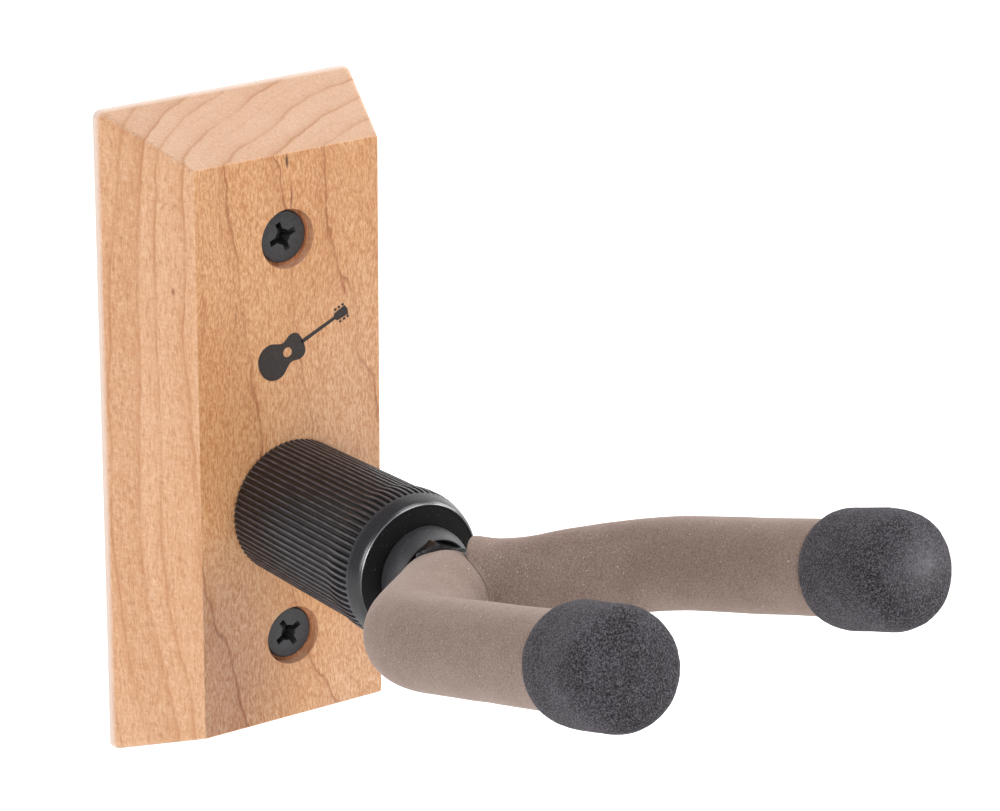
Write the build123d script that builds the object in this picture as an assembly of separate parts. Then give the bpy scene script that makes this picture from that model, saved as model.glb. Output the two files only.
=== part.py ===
from build123d import *
import math
import os

os.makedirs("parts", exist_ok=True)

# Wall guitar hanger: a bevelled wooden block, a ribbed swivel housing and a foam-covered yoke.
# Frame: origin at the centre of the block's back face, +X right seen from the front, -Y out from
# the wall, +Z up. All sizes in millimetres. "Depth" below is the distance out from the wall plane.

# Wooden block: a full-size edge band at the back, then four flat bevels up to a smaller front face
BLOCK_W = 56.1
BLOCK_H = 127.0
BLOCK_T = 21.8
FACE_W = 40.4
FACE_H = 111.75
EDGE_BAND = 1.0
BACK_CORNER_R = 1.6
FACE_CORNER_R = 0.5
FACE_EASE = 0.3

# Mounting screws, one above and one below the housing, each sunk in a counterbore
SCREW_Z = 39.4
SCREW_LENGTH = 50.8
SCREW_HEAD_R = 5.0
SCREW_HEAD_SUNK = 1.7
SCREW_HEAD_RIM = 0.5
SCREW_HEAD_CONE = 3.4
SCREW_SHANK_R = 1.95
SCREW_ROOT_R = 1.6
SCREW_THREAD_R = 2.4
SCREW_PITCH = 2.0
SCREW_THREAD_START = -4.0
SCREW_TIP = 5.0
SCREW_TURN = {"upper": 21.0, "lower": 31.0}
COUNTERBORE_R = 5.75
SCREW_CLEAR_R = 3.2
RECESS_SPAN = 3.1
RECESS_WIDTH = 1.15
RECESS_DEPTH = 2.6

# Swivel axis and housing barrel
AXIS_Z = -12.97
HOUSING_R_BACK = 13.05
HOUSING_R_FRONT = 13.72
HOUSING_FRONT = 63.9
RIB_COUNT = 70
RIB_END = 60.3
RIB_GROOVE_R = 0.41
RIB_GROOVE_SINK = 0.07
RIB_GROOVE_END = 60.9
HOUSING_RIM_R = 12.75
SWELL_BACK = 53.6
SWELL = [(13.93, 55.8), (14.14, 58.4), (14.05, 60.3), (13.55, 62.2)]
PLUG_BORE_R = 11.4
PLUG_BACK = 49.6
PLUG_FRONT = 63.8
FLANGE_R = 12.4
FLANGE_T = 1.0
CAVITY_R = 9.5
CAVITY_BACK = 33.8

# Bolt that pulls the housing against the block, with its washers, in a rear counterbore
BOLT_R = 3.95
BOLT_ROOT_R = 3.3
BOLT_PITCH = 1.25
BOLT_LENGTH = 25.0
BOLT_HEAD_AF = 13.0
BOLT_HEAD_H = 5.3
BOLT_HOLE_R = 4.25
REAR_BORE_R = 10.0
REAR_BORE_DEPTH = 9.5
TAPPED_R = 4.0
FLAT_WASHER_T = 1.6
LOCK_WASHER_T = 2.0
STACK_GAP = 0.05

# Stem that turns in the bearing plug, and the parts that hold it
JOURNAL_R = 5.0
JOURNAL_CLEARANCE = 0.06
JOURNAL_BACK = 50.4
JOURNAL_FRONT = 66.0
STEM_BACK = 36.4
STEM_THREAD_R = 3.95
SPIGOT_R = 4.0
SPIGOT_FRONT = 69.6
STEM_WASHER_R = 8.5
STEM_WASHER_T = 1.45
DISC_SPRING_T = 0.8
DISC_SPRING_RISE = 0.45
LOCKNUT_H = 8.0
LOCKNUT_AF = 13.0
THRUST_WASHER_T = 0.7
THRUST_WASHER_R = 8.0

# Domed collar in front of the housing
COLLAR_R = 8.95
COLLAR_FRONT = 69.0
COLLAR_LIP_R = 7.6
COLLAR_RECESS_R = 7.35
COLLAR_RECESS_BACK = 67.3

# Yoke: both legs of a V leave its apex, then turn forwards. It is flat, tilted up, and stored
# turned a little about the swivel axis
APEX_DEPTH = 71.8
APEX_RISE = -1.83
YOKE_TILT = 15.6
YOKE_TURN = 1.95
LEG_ANGLE = 44.2
LEG_LENGTH = 40.0
ARM_SPLAY = 3.4
ARM_BEND_R = 30.2
APEX_BEND_R = 5.2
ROD_R = 3.175
ROD_FIT = 0.05
KNUCKLE_AF = 14.0
KNUCKLE_CORNER = 94.5
KNUCKLE_SHIFT = -0.45
KNUCKLE_BACK = 69.05
KNUCKLE_BOSS_R = 6.7
KNUCKLE_BOSS_BACK = 67.5

# Foam sleeves and end caps; "left" is the -X arm
SLEEVE_R = 8.38
SLEEVE_BORE_R = 3.3
SLEEVE_START = {"left": 2.7, "right": 6.5}
FLARE_R = 9.45
FLARE_LENGTH = 6.0
CAP_CENTRE = {"left": 65.2, "right": 57.7}
CAP_R = 10.5
CAP_LENGTH = 20.8
CAP_CORNER_R = 4.4
CAP_CROWN = 0.5
CAP_BORE_DEPTH = 12.0
ROD_IN_CAP = 11.0
FOAM_GAP = 0.3
CAP_GAP = 0.2
SIDE = {"left": -1, "right": 1}


def outward(depth, z=AXIS_Z):
    """Plane parallel to the wall at this depth: local x is +X, local y is +Z, normal outwards."""
    return Plane(origin=(0, -depth, z), x_dir=(1, 0, 0), z_dir=(0, -1, 0))


def disc(radius, back, front, z=AXIS_Z):
    """Cylinder between two depths, about a line square to the wall."""
    solid = Cylinder(radius, front - back, align=(Align.CENTER, Align.CENTER, Align.MIN))
    return outward(back, z) * solid


def turned(outline, z=AXIS_Z):
    """Solid of revolution from (radius, depth) points, about a line square to the wall."""
    face = make_face(Polyline(*outline, close=True))
    return turned_face(face, z)


def turned_face(face, z=AXIS_Z):
    spun = revolve(face, Axis.Y)
    return Plane(origin=(0, 0, z), x_dir=(1, 0, 0), z_dir=(0, 0, -1)) * spun


def ring(outer, inner, back, front, z=AXIS_Z):
    return disc(outer, back, front, z) - disc(inner, back - 1, front + 1, z)


def thread_points(crest, root, pitch, start, end):
    """Zigzag (radius, depth) points of a thread's ridges from one depth to another."""
    turns = int(abs(end - start) / pitch)
    step = math.copysign(pitch, end - start)
    points = []
    for turn in range(turns):
        base = start + turn * step
        points.append((root, base))
        points.append((root, base + 0.35 * step))
        points.append((crest, base + 0.62 * step))
        points.append((crest, base + 0.72 * step))
    points.append((root, start + turns * step))
    return points


def hexagon(across_flats, back, front):
    profile = RegularPolygon(across_flats / 2, 6, major_radius=False)
    return extrude(outward(back) * profile, front - back)


# ---- block and its fasteners ----


def screw_seat():
    """Counterbore, cone seat and clearance hole for one screw, at height zero."""
    head_face = BLOCK_T - SCREW_HEAD_SUNK
    rim_back = head_face - SCREW_HEAD_RIM
    slope = SCREW_HEAD_CONE / (SCREW_HEAD_R - SCREW_SHANK_R)
    seat_r = SCREW_HEAD_R + 0.1
    cone_end = rim_back - slope * (seat_r - SCREW_CLEAR_R)
    outline = [
        (0, -1),
        (SCREW_CLEAR_R, -1),
        (SCREW_CLEAR_R, cone_end),
        (seat_r, rim_back),
        (COUNTERBORE_R, rim_back),
        (COUNTERBORE_R, BLOCK_T + 1),
        (0, BLOCK_T + 1),
    ]
    return turned(outline, 0)


def wood_block():
    band = RectangleRounded(BLOCK_W, BLOCK_H, BACK_CORNER_R)
    front = RectangleRounded(FACE_W, FACE_H, FACE_CORNER_R)
    back_plate = extrude(outward(0, 0) * band, EDGE_BAND)
    bevels = loft([outward(EDGE_BAND, 0) * band, outward(BLOCK_T, 0) * front], ruled=True)
    block = back_plate + bevels
    face_edges = block.faces().sort_by(Axis.Y)[0].outer_wire().edges()
    block = fillet(face_edges, FACE_EASE)
    for z in (SCREW_Z, -SCREW_Z):
        block -= Pos(0, 0, z) * screw_seat()
    block -= disc(REAR_BORE_R, -1, REAR_BORE_DEPTH)
    block -= disc(BOLT_HOLE_R, 0, BLOCK_T + 1)
    return block


def cross_recess(face_depth):
    """Cross-shaped driver recess: four sloping wings and a central cone."""
    wing_outline = Polyline((0, 0.2), (RECESS_SPAN, 0.2), (1.3, -RECESS_DEPTH), (0, -RECESS_DEPTH), close=True)
    wing = extrude(make_face(wing_outline), RECESS_WIDTH / 2, both=True)
    recess = turned([(0, 0.2), (1.6, 0.2), (1.0, -RECESS_DEPTH), (0, -RECESS_DEPTH - 0.5)], 0)
    for turn in range(4):
        spoke = Plane(origin=(0, 0, 0), x_dir=(1, 0, 0), z_dir=(0, 0, -1)) * wing
        recess += Rot(0, 90 * turn, 0) * spoke
    return Pos(0, -face_depth, 0) * recess


def mounting_screw(turn):
    head_face = BLOCK_T - SCREW_HEAD_SUNK
    rim_back = head_face - SCREW_HEAD_RIM
    tip = head_face - SCREW_LENGTH
    thread_end = tip + SCREW_TIP
    outline = [
        (0, head_face),
        (SCREW_HEAD_R - 0.25, head_face),
        (SCREW_HEAD_R, head_face - 0.2),
        (SCREW_HEAD_R, rim_back),
        (SCREW_SHANK_R, rim_back - SCREW_HEAD_CONE),
        (SCREW_SHANK_R, SCREW_THREAD_START),
    ]
    outline += thread_points(SCREW_THREAD_R, SCREW_ROOT_R, SCREW_PITCH, SCREW_THREAD_START, thread_end)
    outline += [(SCREW_ROOT_R, thread_end), (0.1, tip), (0, tip)]
    screw = turned(outline, 0) - cross_recess(head_face)
    return Rot(0, -turn, 0) * screw


def mounting_screws():
    upper = Pos(0, 0, SCREW_Z) * mounting_screw(SCREW_TURN["upper"])
    lower = Pos(0, 0, -SCREW_Z) * mounting_screw(SCREW_TURN["lower"])
    return Compound(children=[upper, lower])


# ---- housing and what is inside it ----


def rib_grooves():
    """Round-bottomed cutters, open outwards, between the ribs, which grow taller where the barrel swells."""
    rise = HOUSING_R_FRONT - HOUSING_R_BACK
    slope = math.degrees(math.atan(rise / (RIB_END - BLOCK_T)))
    length = RIB_GROOVE_END - BLOCK_T + 1 - RIB_GROOVE_R
    low = (Align.CENTER, Align.CENTER, Align.MIN)
    groove = Cylinder(RIB_GROOVE_R, length, align=low)
    groove += Box(2, 2 * RIB_GROOVE_R, length, align=(Align.MIN, Align.CENTER, Align.MIN))
    groove += Pos(0, 0, length) * Rot(0, 90, 0) * Cylinder(RIB_GROOVE_R, 2, align=low)
    radius = HOUSING_R_BACK - RIB_GROOVE_SINK
    placed = outward(BLOCK_T - 1) * Pos(radius, 0, 0) * Rot(0, slope, 0) * groove
    cutters = []
    for index in range(RIB_COUNT):
        spin = 360 / RIB_COUNT * index
        cutters.append(placed.rotate(Axis((0, 0, AXIS_Z), (0, 1, 0)), spin))
    return cutters


def swivel_housing():
    """Ribbed barrel that swells before its rounded shoulder, with a thin rim, hollow for the bearing plug."""
    flare = (HOUSING_R_FRONT - HOUSING_R_BACK) / (RIB_END - BLOCK_T - 0.3)
    swell_start = (HOUSING_R_BACK + flare * (SWELL_BACK - BLOCK_T - 0.3), SWELL_BACK)
    rim_edge = (HOUSING_RIM_R, HOUSING_FRONT - 0.15)
    rim_face = (HOUSING_RIM_R - 0.12, HOUSING_FRONT)
    edges = [
        Line((0, BLOCK_T), (HOUSING_R_BACK - 0.3, BLOCK_T)),
        Line((HOUSING_R_BACK - 0.3, BLOCK_T), (HOUSING_R_BACK, BLOCK_T + 0.3)),
        Line((HOUSING_R_BACK, BLOCK_T + 0.3), swell_start),
        Spline(swell_start, *SWELL, rim_edge, tangents=[(flare, 1), (-1, 0.7)]),
        Line(rim_edge, rim_face),
        Line(rim_face, (0, HOUSING_FRONT)),
        Line((0, HOUSING_FRONT), (0, BLOCK_T)),
    ]
    barrel = turned_face(make_face(edges)) - rib_grooves()
    barrel -= disc(FLANGE_R + 0.03, PLUG_FRONT - FLANGE_T - 0.03, HOUSING_FRONT + 1)
    barrel -= disc(PLUG_BORE_R, PLUG_BACK, HOUSING_FRONT + 1)
    barrel -= disc(CAVITY_R, CAVITY_BACK, PLUG_BACK + 1)
    barrel -= disc(TAPPED_R, BLOCK_T - 1, CAVITY_BACK + 1)
    return barrel


def bolt_stack():
    """Depths of the faces between flat washer, lock washer and bolt head, from the block's ledge back."""
    flat_front = REAR_BORE_DEPTH - STACK_GAP
    lock_front = flat_front - FLAT_WASHER_T - STACK_GAP
    head_front = lock_front - LOCK_WASHER_T - STACK_GAP
    return flat_front, lock_front, head_front


def bolt_flat_washer():
    front = bolt_stack()[0]
    return ring(8.0, 4.2, front - FLAT_WASHER_T, front)


def bolt_lock_washer():
    front = bolt_stack()[1]
    washer = ring(6.5, 4.1, front - LOCK_WASHER_T, front)
    slit = outward(front - LOCK_WASHER_T / 2) * Pos(5.3, 0, 0) * Rot(25, 0, 0) * Box(3.5, 0.6, 4)
    return washer - slit


def housing_bolt():
    front = bolt_stack()[2]
    end = front + BOLT_LENGTH
    head = hexagon(BOLT_HEAD_AF, front - BOLT_HEAD_H, front)
    head &= turned([(0, front), (7.6, front), (7.6, front - 4.6), (6.3, front - BOLT_HEAD_H), (0, front - BOLT_HEAD_H)])
    plain_end = front + 4.0
    outline = [(0, front - 1), (BOLT_R, front - 1), (BOLT_R, plain_end)]
    outline += thread_points(BOLT_R, BOLT_ROOT_R, BOLT_PITCH, plain_end, end - 1.0)
    outline += [(BOLT_ROOT_R - 0.4, end), (0, end)]
    return head + turned(outline)


def bearing_plug():
    """Flanged bush: its flange closes the front of the housing all but flush with the rim."""
    outer = PLUG_BORE_R - 0.03
    flange_back = PLUG_FRONT - FLANGE_T
    outline = [
        (JOURNAL_R + JOURNAL_CLEARANCE, PLUG_BACK + 0.4),
        (JOURNAL_R + 0.5, PLUG_BACK),
        (outer - 0.5, PLUG_BACK),
        (outer, PLUG_BACK + 0.5),
        (outer, flange_back),
        (FLANGE_R, flange_back),
        (FLANGE_R, PLUG_FRONT - 0.1),
        (FLANGE_R - 0.1, PLUG_FRONT),
        (JOURNAL_R + 0.5, PLUG_FRONT),
        (JOURNAL_R + JOURNAL_CLEARANCE, PLUG_FRONT - 0.4),
    ]
    return turned(outline)


def thrust_washer():
    back = PLUG_FRONT + STACK_GAP
    return ring(THRUST_WASHER_R, JOURNAL_R + 0.1, back, back + THRUST_WASHER_T)


def stem_stack():
    """Depths of the front faces of the front washer, disc spring, rear washer and locknut."""
    washer_front = PLUG_BACK - STACK_GAP
    spring_front = washer_front - STEM_WASHER_T - STACK_GAP
    rear_front = spring_front - DISC_SPRING_T - DISC_SPRING_RISE - STACK_GAP
    nut_front = rear_front - STEM_WASHER_T - STACK_GAP
    return washer_front, spring_front, rear_front, nut_front


def stem_washer(front):
    return ring(STEM_WASHER_R, STEM_THREAD_R + 0.2, front - STEM_WASHER_T, front)


def stem_disc_spring():
    front = stem_stack()[1]
    inner, outer = STEM_THREAD_R + 0.2, 8.0
    outline = [
        (inner, front),
        (inner, front - DISC_SPRING_T),
        (outer, front - DISC_SPRING_T - DISC_SPRING_RISE),
        (outer, front - DISC_SPRING_RISE),
    ]
    return turned(outline)


def insert_groove(front):
    """Depths and radii of the nylon insert's seat in the back of the locknut."""
    return front - LOCKNUT_H + 0.6, front - LOCKNUT_H + 2.4, 5.2


def stem_locknut():
    front = stem_stack()[3]
    seat_back, seat_front, seat_r = insert_groove(front)
    body_back = front - LOCKNUT_H + 2.0
    nut = hexagon(LOCKNUT_AF, body_back, front) + disc(5.9, front - LOCKNUT_H, body_back + 0.5)
    nut -= disc(STEM_THREAD_R + 0.05, front - LOCKNUT_H - 1, front + 1)
    nut -= disc(seat_r, seat_back, seat_front)
    return nut


def locknut_insert():
    seat_back, seat_front, seat_r = insert_groove(stem_stack()[3])
    return ring(seat_r - 0.03, STEM_THREAD_R + 0.03, seat_back + 0.03, seat_front - 0.03)


def swivel_stem():
    outline = [(0, STEM_BACK), (STEM_THREAD_R - 0.8, STEM_BACK)]
    ridges = thread_points(STEM_THREAD_R, BOLT_ROOT_R, BOLT_PITCH, STEM_BACK + 0.6, JOURNAL_BACK - 1.2)
    outline += ridges
    outline += [
        (BOLT_ROOT_R, JOURNAL_BACK),
        (JOURNAL_R, JOURNAL_BACK),
        (JOURNAL_R, JOURNAL_FRONT),
        (SPIGOT_R, JOURNAL_FRONT),
        (SPIGOT_R, SPIGOT_FRONT),
        (0, SPIGOT_FRONT),
    ]
    return turned(outline)


def swivel_collar(grow=0.0):
    """Domed ring between the housing and the yoke. Growing it gives the space foam keeps clear of."""
    back = PLUG_FRONT + 2 * STACK_GAP + THRUST_WASHER_T
    wide, lip = COLLAR_R + grow, COLLAR_LIP_R + grow
    front = COLLAR_FRONT + grow
    shoulder = back + 1.4
    edges = [
        Line((0, back), (wide - 0.3, back)),
        Line((wide - 0.3, back), (wide, back + 0.3)),
        Line((wide, back + 0.3), (wide, shoulder)),
        TangentArc((wide, shoulder), (lip, front), tangent=(0, 1)),
        Line((lip, front), (0, front)),
        Line((0, front), (0, back)),
    ]
    collar = turned_face(make_face(edges))
    if grow == 0:
        collar -= disc(COLLAR_RECESS_R, COLLAR_RECESS_BACK, front + 1)
        collar -= disc(SPIGOT_R + 0.1, back - 1, front + 1)
        collar -= disc(JOURNAL_R + 0.05, back - 1, JOURNAL_FRONT + 0.05)
    return collar


# ---- yoke ----


def yoke_plane():
    """Local origin at the V's apex, local x along +X, local y forwards in the yoke's own plane."""
    tilt = math.radians(YOKE_TILT)
    normal = (0, -math.sin(tilt), -math.cos(tilt))
    return Plane(origin=(0, -APEX_DEPTH, AXIS_Z + APEX_RISE), x_dir=(1, 0, 0), z_dir=normal)


def turned_with_yoke(solid):
    return solid.rotate(Axis((0, 0, AXIS_Z), (0, -1, 0)), YOKE_TURN)


def on_leg(side, distance):
    angle = math.radians(LEG_ANGLE)
    return (SIDE[side] * distance * math.sin(angle), distance * math.cos(angle))


def on_arm(side, distance):
    corner = on_leg(side, LEG_LENGTH)
    splay = math.radians(ARM_SPLAY)
    return (
        corner[0] + SIDE[side] * distance * math.sin(splay),
        corner[1] + distance * math.cos(splay),
    )


def swept(path, radius):
    placed = yoke_plane() * path
    start = Plane(origin=placed @ 0, z_dir=placed % 0)
    return sweep(start * Circle(radius), path=placed)


def sleeve_end(side):
    return CAP_CENTRE[side] - CAP_LENGTH / 2 - CAP_GAP


def sleeve_body(side, grow=0.0):
    path = FilletPolyline(
        on_leg(side, SLEEVE_START[side] - grow),
        on_leg(side, LEG_LENGTH),
        on_arm(side, sleeve_end(side)),
        radius=ARM_BEND_R,
    )
    return swept(path, SLEEVE_R + grow)


def rod_body(grow=0.0):
    """The whole bent rod, from inside one cap to inside the other."""
    tip = ROD_IN_CAP - CAP_LENGTH / 2
    arms = {}
    for side in SIDE:
        arms[side] = FilletPolyline(
            on_leg(side, 12.0),
            on_leg(side, LEG_LENGTH),
            on_arm(side, CAP_CENTRE[side] + tip),
            radius=ARM_BEND_R,
        )
    vee = FilletPolyline(on_leg("left", 12.0), (0, 0), on_leg("right", 12.0), radius=APEX_BEND_R)
    solid = swept(vee, ROD_R + grow)
    for side in SIDE:
        solid += swept(arms[side], ROD_R + grow)
    return solid


def yoke_rod():
    return turned_with_yoke(rod_body())


def half_space(side, distance):
    """Everything short of a plane square to one leg, as a big block in the yoke's frame."""
    angle = LEG_ANGLE * -SIDE[side]
    slab = Pos(0, distance, 0) * Box(60, 60, 60, align=(Align.CENTER, Align.MAX, Align.CENTER))
    return yoke_plane() * Rot(0, 0, angle) * slab


def yoke_knuckle():
    """Hexagonal black piece round the bend of the rod, with a round boss on the stem behind it."""
    hexagon_face = RegularPolygon(KNUCKLE_AF / 2, 6, major_radius=False)
    corner = KNUCKLE_CORNER - vertex_angle(hexagon_face)
    body = extrude(outward(KNUCKLE_BACK) * Pos(KNUCKLE_SHIFT, 0, 0) * Rot(0, 0, corner) * hexagon_face, 20)
    for side in SIDE:
        body &= half_space(side, SLEEVE_START[side] - FOAM_GAP)
    body += disc(KNUCKLE_BOSS_R, KNUCKLE_BOSS_BACK, KNUCKLE_BACK + 0.2)
    body -= rod_body(ROD_FIT)
    body -= disc(SPIGOT_R + 0.05, KNUCKLE_BOSS_BACK - 1, SPIGOT_FRONT + 0.05)
    return turned_with_yoke(body)


def vertex_angle(face):
    """Direction of one corner of a flat shape about its centre, in degrees."""
    corner = face.vertices()[0]
    return math.degrees(math.atan2(corner.Y, corner.X))


def sleeve_flare():
    """Bulged start of the right sleeve, pushed up against the left one."""
    start = SLEEVE_START["right"]
    end = start + FLARE_LENGTH
    swell = FLARE_R - SLEEVE_R
    edges = [
        Line((SLEEVE_R - 2, start), (FLARE_R, start)),
        Spline(
            (FLARE_R, start),
            (SLEEVE_R + 0.72 * swell, start + 0.33 * FLARE_LENGTH),
            (SLEEVE_R + 0.28 * swell, start + 0.66 * FLARE_LENGTH),
            (SLEEVE_R - 0.01, end),
        ),
        Line((SLEEVE_R - 0.01, end), (SLEEVE_R - 2, end)),
        Line((SLEEVE_R - 2, end), (SLEEVE_R - 2, start)),
    ]
    flare = revolve(make_face(edges), Axis.Y)
    return yoke_plane() * Rot(0, 0, -LEG_ANGLE) * flare


def foam_sleeve(side):
    bore = FilletPolyline(
        on_leg(side, SLEEVE_START[side] - 1.0),
        on_leg(side, LEG_LENGTH),
        on_arm(side, sleeve_end(side) + 1.0),
        radius=ARM_BEND_R,
    )
    sleeve = sleeve_body(side)
    if side == "right":
        sleeve += sleeve_flare()
    sleeve -= swept(bore, SLEEVE_BORE_R)
    sleeve -= swivel_collar(FOAM_GAP)
    sleeve -= rod_body(0.1)
    if side == "right":
        sleeve -= sleeve_body("left", FOAM_GAP)
    biggest = sleeve.solids().sort_by(SortBy.VOLUME)[-1]
    return turned_with_yoke(biggest)


def foam_cap(side):
    half = CAP_LENGTH / 2
    corner = half - CAP_CORNER_R
    edges = [
        ThreePointArc((0, half), (CAP_R / 3, half - CAP_CROWN / 4), (CAP_R - CAP_CORNER_R, half - CAP_CROWN)),
        ThreePointArc(
            (CAP_R - CAP_CORNER_R, half - CAP_CROWN),
            (CAP_R - 0.3 * CAP_CORNER_R, half - CAP_CROWN - 0.26 * CAP_CORNER_R),
            (CAP_R, corner - CAP_CROWN),
        ),
        Line((CAP_R, corner - CAP_CROWN), (CAP_R, -corner)),
        ThreePointArc((CAP_R, -corner), (CAP_R - 0.293 * CAP_CORNER_R, -half + 0.293 * CAP_CORNER_R), (CAP_R - CAP_CORNER_R, -half)),
        Line((CAP_R - CAP_CORNER_R, -half), (0, -half)),
        Line((0, -half), (0, half)),
    ]
    solid = revolve(make_face(edges), Axis.Y)
    bore = Pos(0, -half - 1, 0) * Rot(-90, 0, 0) * Cylinder(
        SLEEVE_BORE_R, CAP_BORE_DEPTH + 1, align=(Align.CENTER, Align.CENTER, Align.MIN)
    )
    centre = on_arm(side, CAP_CENTRE[side])
    placed = Pos(centre[0], centre[1], 0) * Rot(0, 0, -SIDE[side] * ARM_SPLAY) * (solid - bore)
    return turned_with_yoke(yoke_plane() * placed)


def parts():
    washer_front, _, rear_front, _ = stem_stack()
    return {
        "wood_block": wood_block(),
        "mounting_screws": mounting_screws(),
        "swivel_housing": swivel_housing(),
        "housing_bolt": housing_bolt(),
        "bolt_lock_washer": bolt_lock_washer(),
        "bolt_flat_washer": bolt_flat_washer(),
        "bearing_plug": bearing_plug(),
        "thrust_washer": thrust_washer(),
        "swivel_stem": swivel_stem(),
        "stem_washer_front": stem_washer(washer_front),
        "stem_disc_spring": stem_disc_spring(),
        "stem_washer_rear": stem_washer(rear_front),
        "stem_locknut": stem_locknut(),
        "locknut_insert": locknut_insert(),
        "swivel_collar": swivel_collar(),
        "yoke_knuckle": yoke_knuckle(),
        "yoke_rod": yoke_rod(),
        "foam_sleeve_left": foam_sleeve("left"),
        "foam_sleeve_right": foam_sleeve("right"),
        "foam_cap_left": foam_cap("left"),
        "foam_cap_right": foam_cap("right"),
    }


for name, solid in parts().items():
    export_step(solid, f"parts/{name}.step")
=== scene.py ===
import math

import bpy
import numpy as np
from mathutils import Matrix, Vector, noise


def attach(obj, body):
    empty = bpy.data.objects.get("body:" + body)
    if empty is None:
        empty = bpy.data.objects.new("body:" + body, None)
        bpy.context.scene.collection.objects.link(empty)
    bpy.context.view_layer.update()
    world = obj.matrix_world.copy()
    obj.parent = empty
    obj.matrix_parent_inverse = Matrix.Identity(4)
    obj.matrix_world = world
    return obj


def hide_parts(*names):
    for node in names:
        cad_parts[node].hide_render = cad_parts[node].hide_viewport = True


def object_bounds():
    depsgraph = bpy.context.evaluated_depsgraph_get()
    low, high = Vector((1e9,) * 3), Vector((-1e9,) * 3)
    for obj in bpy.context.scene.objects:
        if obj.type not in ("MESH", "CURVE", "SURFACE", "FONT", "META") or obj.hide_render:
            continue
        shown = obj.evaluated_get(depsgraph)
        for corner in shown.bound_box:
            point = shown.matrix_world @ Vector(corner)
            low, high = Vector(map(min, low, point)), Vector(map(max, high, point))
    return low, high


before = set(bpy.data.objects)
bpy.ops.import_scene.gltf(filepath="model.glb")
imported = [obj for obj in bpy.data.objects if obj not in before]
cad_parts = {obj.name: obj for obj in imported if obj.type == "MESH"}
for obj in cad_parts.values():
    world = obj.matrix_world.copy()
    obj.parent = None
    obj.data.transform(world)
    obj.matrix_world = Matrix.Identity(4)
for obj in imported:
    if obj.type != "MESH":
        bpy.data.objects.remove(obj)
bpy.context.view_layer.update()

MM = 0.001

# ---------------------------------------------------------------- sizes, in millimetres
# They repeat the driving sizes of the CAD model; the frame gives the rest.
AXIS_Z = -12.97
BLOCK_T = 21.8
COUNTERBORE_R = 5.75
SCREW_Z = 39.4
SCREW_FACE = 20.1
RECESS_REACH = 3.3

# Swivel housing, and the domed collar in front of it
HOUSING_R_BACK = 13.05
HOUSING_FLARE = 0.0176
SHOULDER_BACK = 60.9
RIM_R = 12.61
RIM_DEPTH = 63.72
# where the painted highlight on the rim is brightest
RIM_GLINT = (-6.0, -63.8, -2.0)
COLLAR_R = 8.95
COLLAR_LIP_R = 7.6
COLLAR_FRONT = 69.0
DOME_R = 4.01
DOME_FROM_AXIS = 4.94
DOME_DEPTH = 66.0

# Yoke: a V whose legs turn forwards, flat in a plane tilted up, stored turned about the swivel
APEX_DEPTH = 71.8
APEX_RISE = -1.83
YOKE_TILT = math.radians(15.6)
YOKE_TURN = math.radians(1.95)
LEG_ANGLE = math.radians(44.2)
LEG_LENGTH = 40.0
ARM_SPLAY = math.radians(3.4)
ARM_BEND_R = 30.2
HALF_BEND = (LEG_ANGLE - ARM_SPLAY) / 2
# from the corner of leg and arm to either end of the bend, and the bend's own length
BEND_TANGENT = ARM_BEND_R * math.tan(HALF_BEND)
BEND_LENGTH = 2 * HALF_BEND * ARM_BEND_R
SIDE = {"left": -1, "right": 1}

# Foam on the yoke
SLEEVE_R = 8.38
SLEEVE_BORE_R = 3.3
SLEEVE_EDGE_R = 0.55
SLEEVE_START = {"left": 2.7, "right": 6.5}
CAP_CENTRE = {"left": 65.2, "right": 57.7}
CAP_R = 10.5
CAP_LENGTH = 20.8
CAP_GAP = 0.2
# middle of the painted highlight on the right cap's outer end, where the light from the right grazes it
CAP_HIGHLIGHT = (33.3, -165.2, 13.2)

# ---------------------------------------------------------------- camera
CAMERA_PLACE = Vector((-450.77, -715.42, 297.40)) * MM
CAMERA_AZIMUTH = math.radians(-35.734)
CAMERA_ELEVATION = math.radians(19.370)
CAMERA_ROLL = math.radians(0.105)
CAMERA_LENS = 168.88


def make_camera():
    back = Vector((
        math.sin(CAMERA_AZIMUTH) * math.cos(CAMERA_ELEVATION),
        -math.cos(CAMERA_AZIMUTH) * math.cos(CAMERA_ELEVATION),
        math.sin(CAMERA_ELEVATION),
    ))
    right = Vector((0, 0, 1)).cross(back).normalized()
    up = back.cross(right)
    turn = Matrix((right, up, back)).transposed().to_4x4() @ Matrix.Rotation(CAMERA_ROLL, 4, "Z")
    data = bpy.data.cameras.new("camera")
    data.lens = CAMERA_LENS
    data.sensor_width = 36.0
    data.clip_start = 0.05
    data.clip_end = 50.0
    camera = bpy.data.objects.new("camera", data)
    camera.matrix_world = Matrix.Translation(CAMERA_PLACE) @ turn
    bpy.context.scene.collection.objects.link(camera)
    bpy.context.scene.camera = camera


# ---------------------------------------------------------------- shader helpers
def srgb(red, green, blue):
    """Linear colour from 0-255 screen values."""
    out = []
    for value in (red, green, blue):
        value /= 255
        out.append(value / 12.92 if value <= 0.04045 else ((value + 0.055) / 1.055) ** 2.4)
    return tuple(out)


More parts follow.
